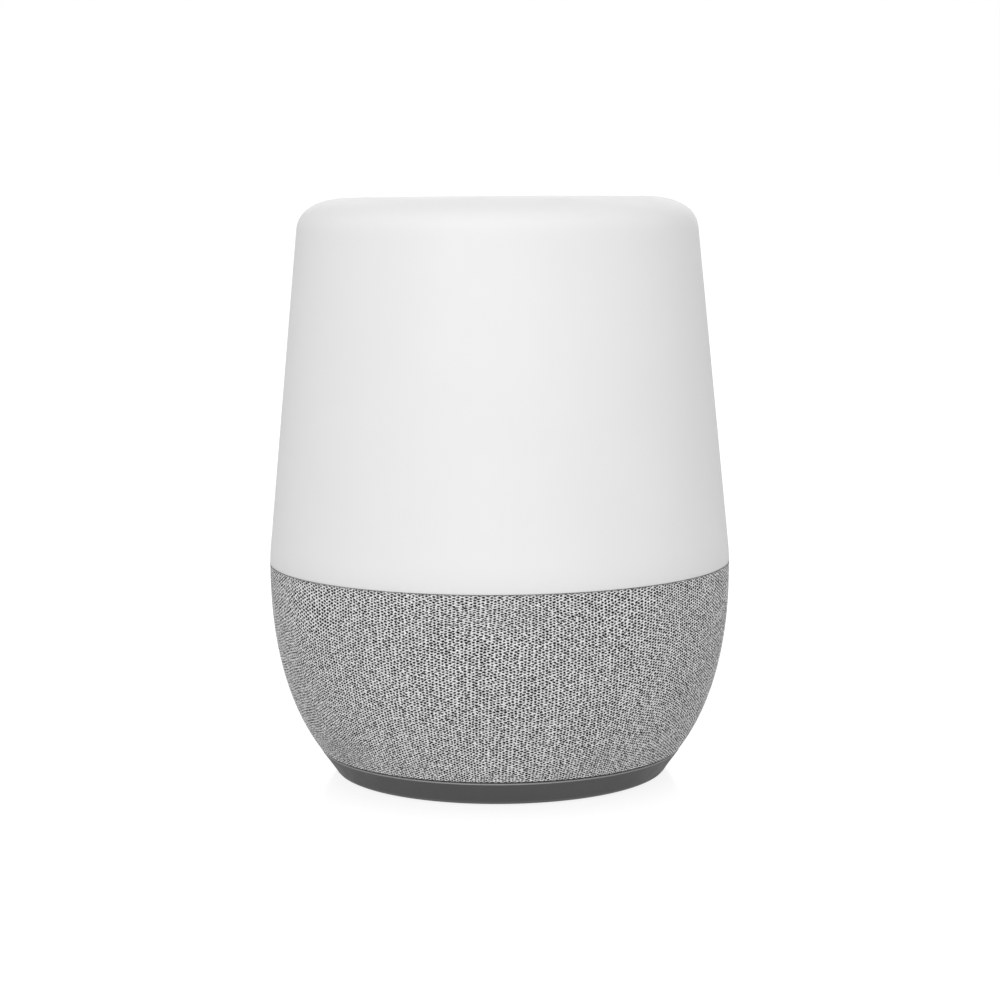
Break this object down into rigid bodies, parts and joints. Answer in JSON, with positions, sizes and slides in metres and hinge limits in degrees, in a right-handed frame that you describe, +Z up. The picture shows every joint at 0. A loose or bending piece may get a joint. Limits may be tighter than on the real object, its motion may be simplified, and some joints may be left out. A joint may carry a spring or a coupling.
{
  "type": "smart speaker",
  "caption": "Round smart speaker with a milky lamp shade on a knit-covered speaker bowl, a dark foot ring, a rear mute button and a power inlet underneath.",
  "frame": {"origin": "centre of the foot on the surface that the speaker stands on", "axes": "+Z up along the body's axis, -Y towards the front, +Y towards the rear button and cable notch"},
  "size_m": [0.12, 0.12, 0.15],
  "materials": {
    "milky_shade": "satin translucent milky diffuser",
    "knit_fabric": "light grey knitted speaker mesh",
    "dark_plastic": "fine satin moulded",
    "inner_plastic": "fine matt moulded",
    "white_plastic": "matt white",
    "clear_plastic": "clear",
    "rubber": "matt",
    "paper_cone": "pressed paper",
    "spider_cloth": "resin-treated cloth",
    "circuit_board": "solder-masked board",
    "chip_black": "moulded",
    "copper": "bare copper",
    "steel": "plated",
    "ferrite": "sintered ferrite",
    "aluminium": "satin",
    "cable_black": "smooth insulation"
  },
  "bodies": {
    "housing": {"diffuser_shade": "milky_shade", "shade_lock_ring": "inner_plastic", "touch_sensor": "copper", "touch_post": "clear_plastic", "light_core": "aluminium", "led_tray": "white_plastic", "mid_deck": "inner_plastic", "main_board": "circuit_board", "processor_shield": "steel", "wifi_module": "steel", "amplifier_chip": "chip_black", "power_capacitor_1": "aluminium", "power_capacitor_2": "aluminium", "microphone_board_left": "circuit_board", "microphone_board_right": "circuit_board", "microphone_boot_left": "rubber", "microphone_boot_right": "rubber", "chamber_shell": "inner_plastic", "chamber_lid": "inner_plastic", "driver_gasket": "rubber", "driver_basket": "steel", "driver_surround": "rubber", "driver_spider": "spider_cloth", "driver_top_plate": "steel", "driver_magnet": "ferrite", "driver_yoke": "steel", "radiator_frame": "inner_plastic", "radiator_surround": "rubber", "grille_shell": "dark_plastic", "fabric_sleeve": "knit_fabric", "mute_bezel": "dark_plastic", "mute_switch_board": "circuit_board", "sound_deflector": "inner_plastic", "base_housing": "dark_plastic", "ballast_plate": "steel", "foot_ring": "dark_plastic", "rubber_foot": "rubber", "power_inlet": "chip_black", "inlet_board": "circuit_board", "driver_lead": "cable_black", "power_lead": "cable_black", "led_strip_1": "white_plastic", "led_strip_2": "white_plastic", "led_strip_3": "white_plastic", "led_strip_4": "white_plastic", "led_strip_5": "white_plastic", "led_strip_6": "white_plastic", "board_screw_1": "steel", "board_screw_2": "steel", "board_screw_3": "steel", "foot_screw_1": "steel", "foot_screw_2": "steel", "foot_screw_3": "steel", "foot_screw_4": "steel"},
    "cone": {"driver_cone": "paper_cone", "dust_cap": "paper_cone", "voice_coil": "copper"},
    "radiator": {"radiator_plate": "aluminium"},
    "mute": {"mute_button": "dark_plastic"},
    "reset": {"reset_button": "dark_plastic"}
  },
  "joints": [
    {"name": "cone_travel", "type": "slide", "parent": "housing", "child": "cone", "axis": [0, 0, 1], "range_m": [-0.002, 0.002], "stiffness_N_per_m": 1500, "deforming": ["driver_surround", "driver_spider"]},
    {"name": "radiator_travel", "type": "slide", "parent": "housing", "child": "radiator", "axis": [0, 0, 1], "range_m": [-0.0018, 0.0018], "stiffness_N_per_m": 1400, "deforming": ["radiator_surround"]},
    {"name": "mute_press", "type": "slide", "parent": "housing", "child": "mute", "axis": [0, -0.975, 0.222], "range_m": [0, 0.0008], "stiffness_N_per_m": 1500, "springref_m": -0.0002},
    {"name": "reset_press", "type": "slide", "parent": "housing", "child": "reset", "axis": [0, 0, 1], "range_m": [0, 0.0006], "stiffness_N_per_m": 1500, "springref_m": -0.0002}
  ]
}
